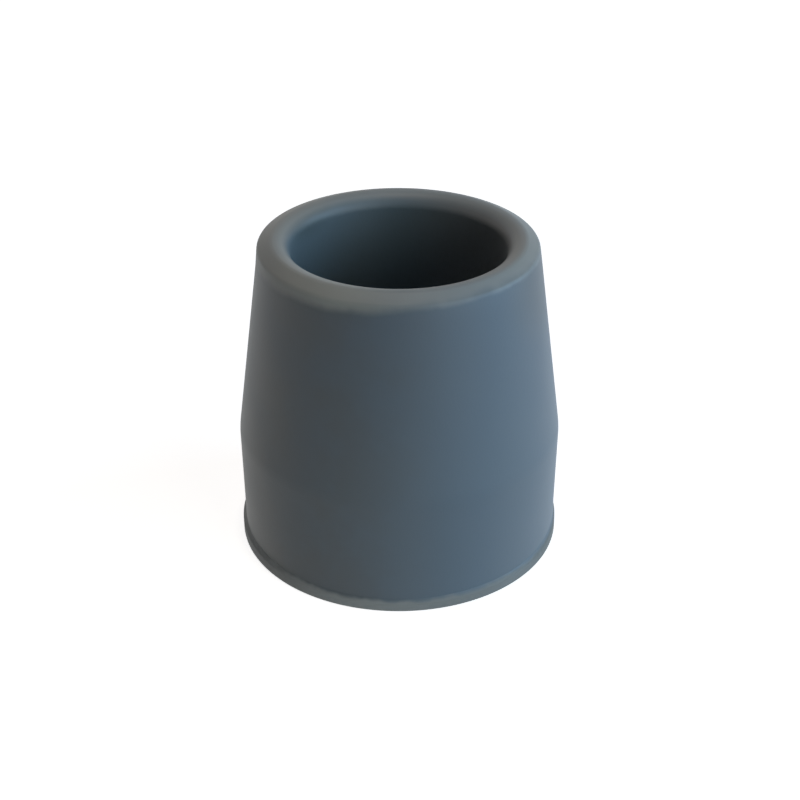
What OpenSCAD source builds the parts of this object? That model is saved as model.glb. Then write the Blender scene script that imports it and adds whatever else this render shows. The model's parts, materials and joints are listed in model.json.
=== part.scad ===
// Rubber cane tip: a one-piece moulded ferrule that is pushed onto the end of a
// walking cane. Millimetres, +Z up, with the origin at the middle of the sole.

/* [Socket] */
// Bore of the socket, which grips the end of the cane's shaft
shaft_d = 22; // [16:0.5:28]
// Depth of the socket, from the rim down to its floor
socket_depth = 25; // [20:0.5:45]
// Rounding where the wall of the socket meets its floor
floor_round = 1.2; // [0.4:0.1:2.5]

/* [Body] */
// Thickness of solid rubber under the socket
sole_thickness = 9; // [6:0.5:14]
// Wall of rubber round the mouth of the socket
mouth_wall = 3.2; // [2.4:0.1:5]
// Wall of rubber at the waist, where the body is widest
waist_wall = 6.1; // [4.5:0.1:10]
// Wall of rubber at the foot of the body, just above the lip
foot_wall = 6; // [4.5:0.1:10]
// Height of the waist above the floor
waist_z = 12.7; // [9:0.1:18]
// Rounding of the waist
waist_round = 8.2; // [2:0.1:14]

/* [Rim] */
// Fall of the rim towards its outer side, in degrees
rim_slope = 22; // [0:1:40]
// Rounding of the rim on its outer side
rim_outer_round = 0.6; // [0.2:0.1:2]
// Rounding of the rim on its inner side, over which the shaft is led in
rim_inner_round = 1.6; // [0.5:0.1:2]

/* [Lip] */
// Distance that the lip stands out from the foot of the body
lip_out = 0.35; // [0.2:0.05:1]
// Height of the upright edge of the lip
lip_edge_h = 0.35; // [0.3:0.05:1.5]
// Height of the slope from that edge up to the foot of the body
lip_slope_h = 0.85; // [0.4:0.05:2]
// Easing of the corners of the lip
lip_round = 0.2; // [0.05:0.05:0.25]

/* [Tread] */
// Number of ring grooves in the sole
groove_count = 3; // [1:1:4]
// Width of a groove at the face of the sole
groove_w = 1.6; // [0.8:0.1:2.4]
// Depth of a groove
groove_depth = 1.2; // [0.5:0.1:2.5]
// Lean of the sides of a groove, in degrees, so that it leaves the mould
groove_draft = 8; // [0:1:12]
// Diameter of the plain land in the middle of the sole
centre_land_d = 9; // [5:0.5:12]
// Width of the plain land between the last groove and the edge of the sole
edge_land = 3.25; // [2:0.05:4]

/* [Hidden] */

height = socket_depth + sole_thickness;
socket_r = shaft_d / 2;
mouth_r = socket_r + mouth_wall;
waist_r = socket_r + waist_wall;
foot_r = socket_r + foot_wall;
lip_r = foot_r + lip_out;

// The two roundings of the rim share its slope, with a little of it left between them
rim_inner_reach = rim_inner_round / tan(45 - rim_slope / 2);
rim_limit = 0.97 * mouth_wall / cos(rim_slope) / (rim_outer_round + rim_inner_reach);
rim_scale = min(1, rim_limit);
rim_outer_r = rim_scale * rim_outer_round;
rim_inner_r = rim_scale * rim_inner_round;

// Height of the slope of the rim at a radius. The slope leaves the inner rounding,
// and the top of that rounding is the top of the tip.
function slope_z(radius) =
    height - rim_inner_r + rim_inner_r / cos(rim_slope)
    - (radius - socket_r - rim_inner_r) * tan(rim_slope);
mouth_z = slope_z(mouth_r);
peak_z = slope_z(socket_r);

// Middle radius of the first groove, and the step from one groove to the next
first_groove_r = (centre_land_d + groove_w) / 2;
last_groove_r = lip_r - edge_land - groove_w / 2;
groove_pitch = (last_groove_r - first_groove_r) / max(1, groove_count - 1);

// How far a cutting shape runs past the face that it cuts, and how much wider than
// its corner the wedge is that a rounding takes away
past = 1;
spread = 1.2;

// A rounding is this much larger than its tangent circle, so that it crosses both
// sides of its corner cleanly
bite = 0.0005;
facets = 128;

// Outlines in half section, anticlockwise, each corner as [radius, height, rounding].
// A corner is rounded only where it points out of its outline.
body_outline = [
    [0, 0, 0],
    [lip_r, 0, lip_round],
    [lip_r, lip_edge_h, lip_round],
    [foot_r, lip_edge_h + lip_slope_h, 0],
    [waist_r, waist_z, waist_round],
    [mouth_r, mouth_z, rim_outer_r],
    [socket_r, peak_z, 0],
    [0, peak_z, 0],
];
socket_outline = [
    [0, sole_thickness, 0],
    [socket_r, sole_thickness, floor_round],
    [socket_r, peak_z + past, 0],
    [0, peak_z + past, 0],
];
mouth_edge = [
    [mouth_r, mouth_z, 0],
    [socket_r, peak_z, rim_inner_r],
    [socket_r, sole_thickness, 0],
];

function point(corner) = [corner[0], corner[1]];
function direction(from, to) = (to - from) / norm(to - from);

// What lies between a corner and the circle that rounds it
module corner_gap(outline, i) {
    radius = outline[i][2];
    corner = point(outline[i]);
    to_last = direction(corner, point(outline[i - 1]));
    to_next = direction(corner, point(outline[i + 1]));
    half_angle = acos(to_last * to_next) / 2;
    centre = corner + direction([0, 0], to_last + to_next) * radius / sin(half_angle);
    touch_last = corner + to_last * radius / tan(half_angle);
    touch_next = corner + to_next * radius / tan(half_angle);
    translate(centre) difference() {
        scale(spread) polygon([
            [0, 0],
            touch_last - centre,
            corner - centre,
            touch_next - centre,
        ]);
        circle(r = radius + bite, $fn = facets);
    }
}

module rounded(outline) {
    difference() {
        polygon([for (corner = outline) point(corner)]);
        for (i = [1:len(outline) - 2]) if (outline[i][2] > 0) corner_gap(outline, i);
    }
}

module groove_section(middle_r) {
    half_mouth = groove_w / 2;
    lean = tan(groove_draft);
    half_floor = half_mouth - groove_depth * lean;
    half_below = half_mouth + past * lean;
    translate([middle_r, 0]) polygon([
        [-half_below, -past],
        [half_below, -past],
        [half_floor, groove_depth],
        [-half_floor, groove_depth],
    ]);
}

module rubber_tip() {
    color("slategray") rotate_extrude($fn = facets) difference() {
        rounded(body_outline);
        rounded(socket_outline);
        corner_gap(mouth_edge, 1);
        for (i = [0:groove_count - 1]) groove_section(first_groove_r + i * groove_pitch);
    }
}

rubber_tip();
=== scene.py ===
"""The looks of a one-piece moulded rubber cane tip, standing on its sole on a white floor.

Lengths and places are in millimetres and angles in degrees, except where a comment says otherwise.
The tip's axis is Z, its sole is at zero height, and its front looks towards -Y.
"""
import json
import math
from typing import NamedTuple

import bmesh
import bpy
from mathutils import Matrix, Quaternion, Vector


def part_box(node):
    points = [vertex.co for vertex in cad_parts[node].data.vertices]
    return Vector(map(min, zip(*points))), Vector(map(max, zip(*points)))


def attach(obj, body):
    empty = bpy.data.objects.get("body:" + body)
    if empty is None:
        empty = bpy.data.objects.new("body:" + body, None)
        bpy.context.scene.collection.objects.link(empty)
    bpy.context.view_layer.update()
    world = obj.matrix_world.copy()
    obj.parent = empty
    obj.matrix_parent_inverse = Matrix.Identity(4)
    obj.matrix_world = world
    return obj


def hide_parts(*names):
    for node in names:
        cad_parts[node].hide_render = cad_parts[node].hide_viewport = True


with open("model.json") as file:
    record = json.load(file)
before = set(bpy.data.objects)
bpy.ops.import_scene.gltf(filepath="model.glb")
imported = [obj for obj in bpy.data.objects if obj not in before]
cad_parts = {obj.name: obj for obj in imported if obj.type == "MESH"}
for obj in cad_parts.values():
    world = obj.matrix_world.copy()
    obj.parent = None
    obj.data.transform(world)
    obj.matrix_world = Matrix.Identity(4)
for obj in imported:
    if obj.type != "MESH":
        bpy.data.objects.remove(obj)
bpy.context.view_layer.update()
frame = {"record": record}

MM = 0.001

# The outer size and the socket come from the frame, the rest of the section is named here
_, high_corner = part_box("rubber_tip")
LIP_R = high_corner.x / MM
HEIGHT = high_corner.z / MM
MOUNTS = {mount["name"]: mount for mount in frame["record"]["mounts"]}
SOCKET_R = MOUNTS["socket"]["dims"]["r_mm"]
SOCKET_FLOOR_Z = 9.0
SOCKET_FLOOR_ROUND = 1.2

MOUTH_R = SOCKET_R + 3.25
WAIST_R = SOCKET_R + 6.1
FOOT_R = SOCKET_R + 6.0
WAIST_Z = 12.7
WAIST_ROUND = 8.2

# The rim is flat by the socket and falls away to its outer edge. It was trimmed a
# little out of square, lower in front than at the back, and lower at +X than at -X
RIM_FLAT_R = SOCKET_R + 1.95
RIM_DROP = 0.15
RIM_TILT = 0.66
RIM_FALL = 0.8
RIM_EDGE_TILT = 1.6
RIM_EDGE_LEAN = 0.3
RIM_INNER_ROUND = 1.65
RIM_FLAT_ROUND = 1.0
RIM_OUTER_ROUND = 0.5
MOUTH_Z = HEIGHT - RIM_FALL
RIM_TOP_Z = HEIGHT - RIM_DROP

# The wall runs straight from the waist to the mouth. Above the neck, which lies on that
# line, it stands more upright at -X, where the rim is pressed out
NECK_Z = 31.1
NECK_R = MOUTH_R + (WAIST_R - MOUTH_R) * (MOUTH_Z - NECK_Z) / (MOUTH_Z - WAIST_Z)
RIM_PRESSED_OUT = 0.08

# The lip is the flash of the mould. It was trimmed out of square as well, and closer at +X
LIP_EDGE_Z = 1.5
LIP_TOP_Z = 2.0
LIP_TILT = 2.2
LIP_OFF_CENTRE = 0.06
LIP_ROUND = 0.2
FOOT_ROUND = 0.1

GROOVE_RADII = (5.3, 9.3, 13.3)
GROOVE_HALF_MOUTH = 0.8
GROOVE_HALF_FLOOR = 0.63
GROOVE_DEPTH = 1.2
GROOVE_EDGE_ROUND = 0.15
GROOVE_FLOOR_ROUND = 0.1

# How finely the form is drawn. A rounding up to the small one needs few steps, and edges
# that turn by less than the angle are shaded smooth
SIDES = 256
ROUND_STEPS = 12
SMALL_ROUND = 0.5
SMALL_ROUND_STEPS = 4
SMOOTH_UNDER = 40

# In metres: points this near to a ring are on it, and points this near to each other are one
ON_RING = 1e-6
SAME_POINT = 1e-7


def linear(hex_colour):
    """An sRGB hex colour as linear RGBA."""
    channels = [int(hex_colour[i:i + 2], 16) / 255 for i in (1, 3, 5)]
    return tuple(
        c / 12.92 if c <= 0.04045 else ((c + 0.055) / 1.055) ** 2.4 for c in channels) + (1,)


def node(tree, kind, sockets=None, **settings):
    """Adds a node with its settings. Each socket gets its value, or the output that feeds it."""
    made = tree.nodes.new(kind)
    for name, value in settings.items():
        setattr(made, name, value)
    for name, value in (sockets or {}).items():
        if isinstance(value, bpy.types.NodeSocket):
            tree.links.new(value, made.inputs[name])
        else:
            made.inputs[name].default_value = value
    return made


# ---- shape ----

class Ring(NamedTuple):
    """A ring of the form, and how far it is out of true: tilted down in front, leaning down at +X,
    and with either side further out than its radius."""
    radius: float
    height: float
    rounding: float = 0.0
    tilt: float = 0.0
    lean: float = 0.0
    plus_x_out: float = 0.0
    minus_x_out: float = 0.0


def section_rings():
    """The half section as rings, from the middle of the sole round to the floor of the socket."""
    rings = []
    for middle in GROOVE_RADII:
        rings += [
            Ring(middle - GROOVE_HALF_MOUTH, 0.0, GROOVE_EDGE_ROUND),
            Ring(middle - GROOVE_HALF_FLOOR, GROOVE_DEPTH, GROOVE_FLOOR_ROUND),
            Ring(middle + GROOVE_HALF_FLOOR, GROOVE_DEPTH, GROOVE_FLOOR_ROUND),
            Ring(middle + GROOVE_HALF_MOUTH, 0.0, GROOVE_EDGE_ROUND),
        ]
    trimmed = -2 * LIP_OFF_CENTRE
    rings += [
        Ring(LIP_R, 0.0, LIP_ROUND, plus_x_out=trimmed),
        Ring(LIP_R, LIP_EDGE_Z, LIP_ROUND, tilt=LIP_TILT, plus_x_out=trimmed),
        Ring(FOOT_R, LIP_TOP_Z, FOOT_ROUND, tilt=LIP_TILT),
        Ring(WAIST_R, WAIST_Z, WAIST_ROUND),
        Ring(NECK_R, NECK_Z),
        Ring(MOUTH_R, MOUTH_Z, RIM_OUTER_ROUND, tilt=RIM_EDGE_TILT, lean=RIM_EDGE_LEAN,
             minus_x_out=RIM_PRESSED_OUT),
        Ring(RIM_FLAT_R, RIM_TOP_Z, RIM_FLAT_ROUND, tilt=RIM_TILT),
        Ring(SOCKET_R, RIM_TOP_Z, RIM_INNER_ROUND, tilt=RIM_TILT),
        Ring(SOCKET_R, SOCKET_FLOOR_Z, SOCKET_FLOOR_ROUND),
    ]
    return rings


def select_ring(mesh, ring):
    """Selects the edges of a ring that is still in its true place."""
    bpy.ops.mesh.select_all(action="DESELECT")
    bm = bmesh.from_edit_mesh(mesh)
    for edge in bm.edges:
        if all(abs(vert.co.xy.length - ring.radius * MM) < ON_RING
               and abs(vert.co.z - ring.height * MM) < ON_RING for vert in edge.verts):
            edge.select_set(True)
    bmesh.update_edit_mesh(mesh)


def put_out_of_true(ring):
    """Moves the selected ring to where it really is."""
    # With no window, transform.rotate turns the other way, so the angles are negative
    middle = (0, 0, ring.height * MM)
    for turn, axis in ((ring.tilt, "X"), (ring.lean, "Y")):
        if turn:
            bpy.ops.transform.rotate(
                value=-math.radians(turn), orient_axis=axis, center_override=middle)
    for side, out in ((1, ring.plus_x_out), (-1, ring.minus_x_out)):
        if out:
            stretch = 1 + out / (2 * ring.radius)
            opposite = (-side * ring.radius * MM, 0, 0)
            bpy.ops.transform.resize(value=(stretch, 1, 1), center_override=opposite)


def turned_form(name, rings):
    """Turns a closed solid ring by ring, then puts each ring in its place and rounds its edge."""
    first = rings[0]
    bpy.ops.object.select_all(action="DESELECT")
    bpy.ops.mesh.primitive_circle_add(
        vertices=SIDES, radius=first.radius * MM, fill_type="TRIFAN",
        location=(0, 0, first.height * MM))
    piece = bpy.context.object
    piece.name = name
    bpy.ops.object.transform_apply()
    bpy.ops.object.mode_set(mode="EDIT")
    bpy.ops.mesh.select_mode(type="EDGE")
    select_ring(piece.data, first)
    for ring, following in zip(rings, rings[1:]):
        rise = following.height - ring.height
        growth = following.radius / ring.radius
        bpy.ops.mesh.extrude_region_move(TRANSFORM_OT_translate={"value": (0, 0, rise * MM)})
        bpy.ops.transform.resize(value=(growth, growth, 1), center_override=(0, 0, 0))
    bpy.ops.mesh.edge_face_add()
    bpy.ops.mesh.poke()

    # The section from the middle of the sole to the middle of the socket's floor
    corners = [Vector((ring.radius, ring.height)) for ring in rings]
    section = [Vector((0, rings[0].height)), *corners, Vector((0, rings[-1].height))]
    for ring, before, corner, after in zip(rings, section, section[1:], section[2:]):
        select_ring(piece.data, ring)
        put_out_of_true(ring)
        if ring.rounding:
            setback = ring.rounding / math.tan((before - corner).angle(after - corner) / 2)
            steps = ROUND_STEPS if ring.rounding > SMALL_ROUND else SMALL_ROUND_STEPS
            bpy.ops.mesh.bevel(offset=setback * MM, segments=steps, affect="EDGES")
    bpy.ops.mesh.select_all(action="SELECT")
    bpy.ops.mesh.remove_doubles(threshold=SAME_POINT)
    bpy.ops.mesh.normals_make_consistent(inside=False)
    bpy.ops.object.mode_set(mode="OBJECT")
    bpy.ops.object.shade_smooth_by_angle(angle=math.radians(SMOOTH_UNDER))
    return piece


tip = turned_form("moulded_tip", section_rings())


# ---- rubber ----

# A Mix node has sockets for every kind of data. These are the ones it uses for colours
SHARE, UNDER, OVER, MIXED = 0, 6, 7, 2
SMOOTH = {"interpolation_type": "SMOOTHSTEP"}

# Colours. A tint is multiplied with the colour that lies under it
# Painted shade: darker, greyer rubber at -X, away from the side window; on the lip, its shaded
# sides and back
SHADED_SIDE_RUBBER = "#505657"
# Painted light: bluer and lighter, the side window's light on the bloom at +X
SIDE_LIT_BLOOM = "#5B6B78"
# Painted shade: darkens the body towards the mouth
TOP_SHADE_TINT = "#E4E6EA"
STREAK_TINT = "#F3FAFF"
# Painted shade: greys the body below the rim at +X, over the side window's blue sheen
UNDER_RIM_SHADE_RUBBER = "#565C60"
# Painted light: the side window's blue on the lining at -X
SIDE_LIT_LINING = "#5B6B75"
PLAIN_LINING = "#767777"
# Painted shade: darkens the lining's rounding at the back at -X, over the side window's highlight
LINING_SHADE_TINT = "#DCDBD4"
# Painted light: the paler grey of the rim's top, as lit from above
RIM_LIT_RUBBER = "#A0A5A3"
# Painted light: the paler grey of the lip's slope, palest in front at -X
LIP_LIT_RUBBER = "#ABB0B2"

# How it takes the light. The gloss follows the clouds of bloom a little, and the torn lip is
# rougher than the moulded faces
IOR = 1.52
LEAST_ROUGHNESS = 0.46
MOST_ROUGHNESS = 0.55
TORN_ROUGHER = 0.15

# Painted light makes the body bluer and lighter from -X to +X, towards the side window, and painted
# shade leaves it darker and greyer at -X. Clouds of bloom push it to and fro. The noise that draws
# them keeps between its low and its high value nearly everywhere
PAINTED_SHADE_FROM_X = -16.0
PAINTED_LIGHT_TO_X = 3.0
CLOUD_SIZE = 7.0
CLOUD_LOW = 0.35
CLOUD_HIGH = 0.65
CLOUD_PUSH = 2.0
# Painted shade darkens the body from low on it up to the mouth
TOP_SHADE_FROM_Z = 8.0
TOP_SHADE_TO_Z = 33.0
# A cooler streak runs up the body beside the middle of the front
STREAK_X = 6.5
STREAK_HALF_CORE = 1.0
STREAK_HALF_WIDTH = 6.0
# Painted shade greys the body below the rim at +X, over the blue sheen of the side window there
UNDER_RIM_SHADE_AT = (13.5, -4.0, HEIGHT - 2.0)
UNDER_RIM_SHADE_CORE = 2.5
UNDER_RIM_SHADE_REACH = 9.0
UNDER_RIM_SHADE_SHARE = 0.6

# The lining of the socket begins on the rounding at its mouth. Painted light makes it bluer at -X,
# where the side window's light falls on the wall, and painted shade darkens one place on the
# rounding at the back at -X, about a point above the rim, so that it ends high up on the wall
LINING_R = SOCKET_R + 0.1
LINING_END_R = SOCKET_R + 0.9
LINING_LIT_END_X = -1.0
LINING_PLAIN_X = 11.0
LINING_SHADE_AT = (-9.5, 5.5, HEIGHT + 3.0)
LINING_SHADE_CORE = 3.5
LINING_SHADE_REACH = 6.5

# The edges of the rim's and the lip's painted light wander up and down in waves
WAVE_LENGTH = 2.5
WAVE_LOW = 0.3
WAVE_HIGH = 0.7
WAVE_HEIGHT = 0.1

# Painted light makes the rim paler from this far below its top, as lit from above, further down at
# -X than at +X, and most at one place in front
RIM_LIGHT_START = 2.1
RIM_LIGHT_FULL = 1.0
RIM_LIGHT_SLANT = 0.45
RIM_LIGHT_SLANT_X = 9.0
RIM_LIGHT_AT = (-8.0, -11.0, HEIGHT)
RIM_LIGHT_CORE = 2.0
RIM_LIGHT_REACH = 8.5
MOST_RIM_LIGHT = 0.95
LEAST_RIM_LIGHT = 0.55

# The lip is torn up to its sloping top. Painted light makes it paler there, palest in front at -X,
# with painted shade towards the back and +X
LIP_BLEND_BELOW = 0.4
LIP_BLEND_ABOVE = 0.05
PALE_FROM_X = -9.0
PALE_TO_X = 10.0
PALE_LEFT_AT_X = 0.36
PALE_FROM_Y = -14.5
PALE_TO_Y = -5.5
PALE_LEFT_AT_Y = 0.28

# The grain of the mould's steel is about 0.1 mm across, and is drawn coarser because that
# would be too fine to show
GRAIN_SIZE = 0.3
GRAIN_DEPTH = 0.02
GRAIN_STRENGTH = 0.35


def body_colour(tree, position, axes, cloud):
    """Grey rubber under a bluish bloom in clouds, with painted light and shade: bluer and lighter
    towards +X, darker and greyer towards -X, darker towards the mouth, and greyer below the rim at
    +X.
    """
    drift = node(tree, "ShaderNodeMapRange", {
        "Value": cloud, "From Min": CLOUD_LOW, "From Max": CLOUD_HIGH,
        "To Min": -CLOUD_PUSH, "To Max": CLOUD_PUSH}, **SMOOTH)
    sideways = node(tree, "ShaderNodeMath", {
        0: axes["X"], 1: drift.outputs["Result"]}, operation="ADD")
    # Painted light and shade: bluer and lighter towards +X, darker and greyer towards -X
    bloom_and_side_light = node(tree, "ShaderNodeMapRange", {
        "Value": sideways.outputs["Value"],
        "From Min": PAINTED_SHADE_FROM_X, "From Max": PAINTED_LIGHT_TO_X}, **SMOOTH)
    side_lit = node(tree, "ShaderNodeMix", {
        SHARE: bloom_and_side_light.outputs["Result"], UNDER: linear(SHADED_SIDE_RUBBER), OVER: linear(SIDE_LIT_BLOOM)},
        data_type="RGBA")

    # Painted shade, darker towards the mouth
    top_shade = node(tree, "ShaderNodeMapRange", {
        "Value": axes["Z"], "From Min": TOP_SHADE_FROM_Z, "From Max": TOP_SHADE_TO_Z}, **SMOOTH)
    top_shaded = node(tree, "ShaderNodeMix", {
        SHARE: top_shade.outputs["Result"], UNDER: side_lit.outputs[MIXED], OVER: linear(TOP_SHADE_TINT)},
        data_type="RGBA", blend_type="MULTIPLY")

    aside = node(tree, "ShaderNodeMath", {0: axes["X"], 1: STREAK_X}, operation="SUBTRACT")
    off = node(tree, "ShaderNodeMath", {0: aside.outputs["Value"]}, operation="ABSOLUTE")
    streak = node(tree, "ShaderNodeMapRange", {
        "Value": off.outputs["Value"], "From Min": STREAK_HALF_CORE, "From Max": STREAK_HALF_WIDTH,
        "To Min": 1.0, "To Max": 0.0}, **SMOOTH)
    streaked = node(tree, "ShaderNodeMix", {
        SHARE: streak.outputs["Result"], UNDER: top_shaded.outputs[MIXED], OVER: linear(STREAK_TINT)},
        data_type="RGBA", blend_type="MULTIPLY")

    # Painted shade below the rim at +X
    from_under_rim_shade = node(tree, "ShaderNodeVectorMath", {0: position, 1: UNDER_RIM_SHADE_AT}, operation="DISTANCE")
    under_rim_shade = node(tree, "ShaderNodeMapRange", {
        "Value": from_under_rim_shade.outputs["Value"], "From Min": UNDER_RIM_SHADE_CORE, "From Max": UNDER_RIM_SHADE_REACH,
        "To Min": UNDER_RIM_SHADE_SHARE, "To Max": 0.0}, **SMOOTH)
    plain = node(tree, "ShaderNodeMix", {
        SHARE: under_rim_shade.outputs["Result"], UNDER: streaked.outputs[MIXED],
        OVER: linear(UNDER_RIM_SHADE_RUBBER)}, data_type="RGBA")
    return plain.outputs[MIXED]


def lining_colour(tree, position, axes):
    """The socket, painted bluer by the side window's light at -X and greyer at +X, with painted
    shade on its rounding at the back.
    """
    # Painted light: bluer at -X, where the side window's light falls on the wall
    across = node(tree, "ShaderNodeMapRange", {
        "Value": axes["X"], "From Min": LINING_LIT_END_X, "From Max": LINING_PLAIN_X}, **SMOOTH)
    lining = node(tree, "ShaderNodeMix", {
        SHARE: across.outputs["Result"], UNDER: linear(SIDE_LIT_LINING), OVER: linear(PLAIN_LINING)},
        data_type="RGBA")
    # Painted shade over the side window's highlight on the rounding
    beside = node(tree, "ShaderNodeVectorMath", {0: position, 1: LINING_SHADE_AT}, operation="DISTANCE")
    lining_shade = node(tree, "ShaderNodeMapRange", {
        "Value": beside.outputs["Value"], "From Min": LINING_SHADE_CORE, "From Max": LINING_SHADE_REACH,
        "To Min": 1.0, "To Max": 0.0}, **SMOOTH)
    lining_shaded = node(tree, "ShaderNodeMix", {
        SHARE: lining_shade.outputs["Result"], UNDER: lining.outputs[MIXED], OVER: linear(LINING_SHADE_TINT)},
        data_type="RGBA", blend_type="MULTIPLY")
    return lining_shaded.outputs[MIXED]


def rim_painted_light(tree, position, axes, ragged, inside):
    """How much painted light makes the rim paler, down to where it ends. The lining isn't painted.
    """
    # Painted light on the rim, paler down to a wandering height, lower at -X and most in front
    reach = node(tree, "ShaderNodeMapRange", {
        "Value": axes["X"], "From Min": -RIM_LIGHT_SLANT_X, "From Max": RIM_LIGHT_SLANT_X,
        "To Min": RIM_LIGHT_SLANT, "To Max": -RIM_LIGHT_SLANT}, **SMOOTH)
    reached = node(tree, "ShaderNodeMath", {0: ragged, 1: reach.outputs["Result"]}, operation="ADD")
    top = node(tree, "ShaderNodeMapRange", {
        "Value": reached.outputs["Value"],
        "From Min": HEIGHT - RIM_LIGHT_START, "From Max": HEIGHT - RIM_LIGHT_FULL}, **SMOOTH)
    rim = node(tree, "ShaderNodeMath", {
        0: top.outputs["Result"], 1: inside}, operation="SUBTRACT", use_clamp=True)
    apart = node(tree, "ShaderNodeVectorMath", {0: position, 1: RIM_LIGHT_AT}, operation="DISTANCE")
    patch = node(tree, "ShaderNodeMapRange", {
        "Value": apart.outputs["Value"], "From Min": RIM_LIGHT_CORE, "From Max": RIM_LIGHT_REACH,
        "To Min": MOST_RIM_LIGHT, "To Max": LEAST_RIM_LIGHT}, **SMOOTH)
    rim_light = node(tree, "ShaderNodeMath", {
        0: rim.outputs["Value"], 1: patch.outputs["Result"]}, operation="MULTIPLY")
    return rim_light.outputs["Value"]


def lip_painted_light(tree, axes):
    """The torn face of the lip, painted paler as light, palest in front at -X, and darker as
    painted shade towards the back and +X.
    """
    # Painted light on the lip, with painted shade towards the back and +X
    fade = node(tree, "ShaderNodeMapRange", {
        "Value": axes["X"], "From Min": PALE_FROM_X, "From Max": PALE_TO_X,
        "To Min": 1.0, "To Max": PALE_LEFT_AT_X}, **SMOOTH)
    front = node(tree, "ShaderNodeMapRange", {
        "Value": axes["Y"], "From Min": PALE_FROM_Y, "From Max": PALE_TO_Y,
        "To Min": 1.0, "To Max": PALE_LEFT_AT_Y}, **SMOOTH)
    faded = node(tree, "ShaderNodeMath", {
        0: fade.outputs["Result"], 1: front.outputs["Result"]}, operation="MULTIPLY")
    lip_lit = node(tree, "ShaderNodeMix", {
        SHARE: faded.outputs["Value"], UNDER: linear(SHADED_SIDE_RUBBER), OVER: linear(LIP_LIT_RUBBER)},
        data_type="RGBA")
    return lip_lit.outputs[MIXED]


def moulded_rubber():
    """Moulded vulcanised rubber: dull and blue-grey, with a fine grain from the steel of the mould.
    A bluish bloom lies on it in clouds, and painted light and shade make it bluer towards +X and
    darker towards -X.
    The rim and the lip are painted a paler grey as the light that falls on them; the lip is torn
    from the flash."""
    material = bpy.data.materials.new("moulded vulcanised rubber")
    material.use_nodes = True
    tree = material.node_tree
    shader = tree.nodes["Principled BSDF"]
    place = node(tree, "ShaderNodeTexCoord")
    in_mm = node(tree, "ShaderNodeMapping", {
        "Vector": place.outputs["Object"], "Scale": (1 / MM, 1 / MM, 1 / MM)})
    position = in_mm.outputs["Vector"]
    axes = node(tree, "ShaderNodeSeparateXYZ", {"Vector": position}).outputs
    cloud = node(tree, "ShaderNodeTexNoise", {
        "Vector": position, "Scale": 1 / CLOUD_SIZE, "Detail": 3.0}).outputs["Fac"]

    # The body and, within a radius, the lining of the socket
    level = node(tree, "ShaderNodeCombineXYZ", {"X": axes["X"], "Y": axes["Y"]})
    radius = node(tree, "ShaderNodeVectorMath", {0: level.outputs["Vector"]}, operation="LENGTH")
    inside = node(tree, "ShaderNodeMapRange", {
        "Value": radius.outputs["Value"], "From Min": LINING_R, "From Max": LINING_END_R,
        "To Min": 1.0, "To Max": 0.0}, **SMOOTH).outputs["Result"]
    socketed = node(tree, "ShaderNodeMix", {
        SHARE: inside, UNDER: body_colour(tree, position, axes, cloud),
        OVER: lining_colour(tree, position, axes)}, data_type="RGBA")

    # The rim's painted light, with a height that wanders
    unevenness = node(tree, "ShaderNodeTexNoise", {
        "Vector": position, "Scale": 1 / WAVE_LENGTH, "Detail": 2.0})
    wander = node(tree, "ShaderNodeMapRange", {
        "Value": unevenness.outputs["Fac"], "From Min": WAVE_LOW, "From Max": WAVE_HIGH,
        "To Min": -WAVE_HEIGHT, "To Max": WAVE_HEIGHT}, **SMOOTH)
    ragged = node(tree, "ShaderNodeMath", {
        0: axes["Z"], 1: wander.outputs["Result"]}, operation="ADD").outputs["Value"]
    rimmed = node(tree, "ShaderNodeMix", {
        SHARE: rim_painted_light(tree, position, axes, ragged, inside), UNDER: socketed.outputs[MIXED],
        OVER: linear(RIM_LIT_RUBBER)}, data_type="RGBA")

    # The lip's painted light, with a height that is measured along its tilt as well
    squared = node(tree, "ShaderNodeMath", {
        0: axes["Y"], 1: -math.tan(math.radians(LIP_TILT)), 2: ragged}, operation="MULTIPLY_ADD")
    low = node(tree, "ShaderNodeMapRange", {
        "Value": squared.outputs["Value"],
        "From Min": LIP_TOP_Z - LIP_BLEND_BELOW, "From Max": LIP_TOP_Z + LIP_BLEND_ABOVE,
        "To Min": 1.0, "To Max": 0.0}, **SMOOTH).outputs["Result"]
    lipped = node(tree, "ShaderNodeMix", {
        SHARE: low, UNDER: rimmed.outputs[MIXED], OVER: lip_painted_light(tree, axes)}, data_type="RGBA")
    tree.links.new(lipped.outputs[MIXED], shader.inputs["Base Color"])

    dullness = node(tree, "ShaderNodeMapRange", {
        "Value": cloud, "To Min": LEAST_ROUGHNESS, "To Max": MOST_ROUGHNESS})
    roughness = node(tree, "ShaderNodeMath", {
        0: low, 1: TORN_ROUGHER, 2: dullness.outputs["Result"]}, operation="MULTIPLY_ADD")
    tree.links.new(roughness.outputs["Value"], shader.inputs["Roughness"])
    shader.inputs["IOR"].default_value = IOR

    grain = node(tree, "ShaderNodeTexNoise", {
        "Vector": position, "Scale": 1 / GRAIN_SIZE, "Detail": 1.0})
    bumps = node(tree, "ShaderNodeBump", {
        "Height": grain.outputs["Fac"], "Strength": GRAIN_STRENGTH, "Distance": GRAIN_DEPTH * MM})
    tree.links.new(bumps.outputs["Normal"], shader.inputs["Normal"])
    return material


tip.data.materials.clear()
tip.data.materials.append(moulded_rubber())
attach(tip, "root")
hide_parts("rubber_tip")


# ---- floor ----

# The floor is a hair below the sole, so that their faces don't coincide
FLOOR_GAP = 0.01
BOARD_WHITE = "#E6E6E6"

# In metres: the floor's side, and from where to where the light of the lamps fades on it. Near
# the tip this share of plain white is added to it, and far out all of it
FLOOR_SIZE = 4
LIT_FROM = 0.03
LIT_TO = 0.3
PLAIN_WHITE_NEAR = 0.86


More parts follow.
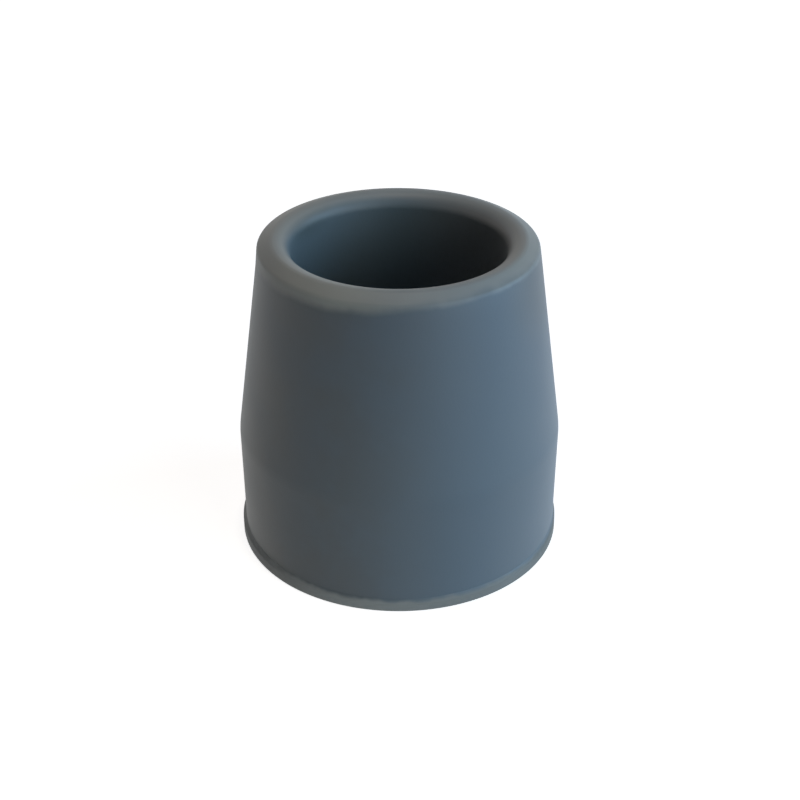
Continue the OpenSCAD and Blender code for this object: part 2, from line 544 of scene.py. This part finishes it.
def seen_white(tree):
    """One for the rays that show the white background: straight from the camera, in a gloss or
    through glass."""
    rays = node(tree, "ShaderNodeLightPath").outputs
    mirrored = node(tree, "ShaderNodeMath", {
        0: rays["Is Camera Ray"], 1: rays["Is Glossy Ray"]}, operation="MAXIMUM")
    seen = node(tree, "ShaderNodeMath", {
        0: mirrored.outputs["Value"], 1: rays["Is Transmission Ray"]}, operation="MAXIMUM")
    return seen.outputs["Value"]


def white_board():
    """Matte white board, seen and mirrored as plain white, with the tip's own shadow left on it."""
    material = bpy.data.materials.new("matte white board")
    material.use_nodes = True
    tree = material.node_tree
    tree.nodes.remove(tree.nodes["Principled BSDF"])
    board = node(tree, "ShaderNodeBsdfDiffuse", {"Color": linear(BOARD_WHITE)})
    none = node(tree, "ShaderNodeBsdfTransparent", {"Color": (0, 0, 0, 1)})
    place = node(tree, "ShaderNodeTexCoord")
    far = node(tree, "ShaderNodeVectorMath", {0: place.outputs["Object"]}, operation="LENGTH")
    whiter = node(tree, "ShaderNodeMapRange", {
        "Value": far.outputs["Value"], "From Min": LIT_FROM, "From Max": LIT_TO,
        "To Min": PLAIN_WHITE_NEAR, "To Max": 1.0})
    plain = node(tree, "ShaderNodeEmission", {
        "Color": (1, 1, 1, 1), "Strength": whiter.outputs["Result"]}, name="plain white")
    white = node(tree, "ShaderNodeMixShader", {
        0: seen_white(tree), 1: none.outputs[0], 2: plain.outputs[0]})
    both = node(tree, "ShaderNodeAddShader", {0: board.outputs[0], 1: white.outputs[0]})
    tree.links.new(both.outputs[0], tree.nodes["Material Output"].inputs["Surface"])
    return material


bpy.ops.object.select_all(action="DESELECT")
bpy.ops.mesh.primitive_plane_add(size=FLOOR_SIZE, location=(0, 0, -FLOOR_GAP * MM))
floor = bpy.context.object
floor.name = "floor"
floor.data.materials.append(white_board())


# ---- light and camera ----

# In metres: the middle of the tip, which the lamps and the camera are turned to, and the lamps
AIM = Vector((0, 0, HEIGHT * MM / 2))
LAMP_DISTANCE = 0.5
WINDOW_SIZE = 0.35
CEILING_LAMP_SIZE = 0.08

CAMERA_ELEVATION = 28.84
CAMERA_DISTANCE = 149.0
CAMERA_LENS = 63.0
CAMERA_SENSOR = 36
CAMERA_ROLL = -0.145
CAMERA_SHIFT_X = 0.0009
CAMERA_SHIFT_Y = -0.0216
CAMERA_NEAREST = 10


def softbox(name, azimuth, elevation, size, watts, colour):
    """A square lamp that is turned to the tip. Azimuth 0 is in front of it, and 90 is at +X. Its
    colour is linear."""
    a, e = math.radians(azimuth), math.radians(elevation)
    away = Vector((math.sin(a) * math.cos(e), -math.cos(a) * math.cos(e), math.sin(e)))
    data = bpy.data.lights.new(name, "AREA")
    data.shape = "SQUARE"
    data.size = size
    data.energy = watts
    data.color = colour
    lamp = bpy.data.objects.new(name, data)
    lamp.location = AIM + away * LAMP_DISTANCE
    lamp.rotation_euler = away.to_track_quat("Z", "Y").to_euler()
    bpy.context.scene.collection.objects.link(lamp)


softbox("side window", azimuth=90, elevation=10, size=WINDOW_SIZE, watts=1.82,
        colour=(0.453, 0.736, 1.0))
softbox("front window", azimuth=45, elevation=12, size=WINDOW_SIZE, watts=0.95,
        colour=(0.9, 1.0, 0.98))
softbox("ceiling lamp", azimuth=0, elevation=89.9, size=CEILING_LAMP_SIZE, watts=0.4,
        colour=(1.0, 0.85, 0.75))

world = bpy.data.worlds.new("studio")
bpy.context.scene.world = world
world.use_nodes = True
background = world.node_tree.nodes["Background"]
background.inputs["Color"].default_value = (1, 1, 1, 1)
world.node_tree.links.new(seen_white(world.node_tree), background.inputs["Strength"])

elevation = math.radians(CAMERA_ELEVATION)
back = Vector((0, -math.cos(elevation), math.sin(elevation)))
roll = Quaternion((0, 0, 1), math.radians(CAMERA_ROLL))
camera = bpy.data.objects.new("camera", bpy.data.cameras.new("camera"))
camera.data.sensor_width = CAMERA_SENSOR
camera.data.lens = CAMERA_LENS
camera.data.shift_x = CAMERA_SHIFT_X
camera.data.shift_y = CAMERA_SHIFT_Y
camera.data.clip_start = CAMERA_NEAREST * MM
camera.location = AIM + back * CAMERA_DISTANCE * MM
camera.rotation_euler = (back.to_track_quat("Z", "Y") @ roll).to_euler()
bpy.context.scene.collection.objects.link(camera)
bpy.context.scene.camera = camera
bpy.context.scene.view_settings.view_transform = "Standard"
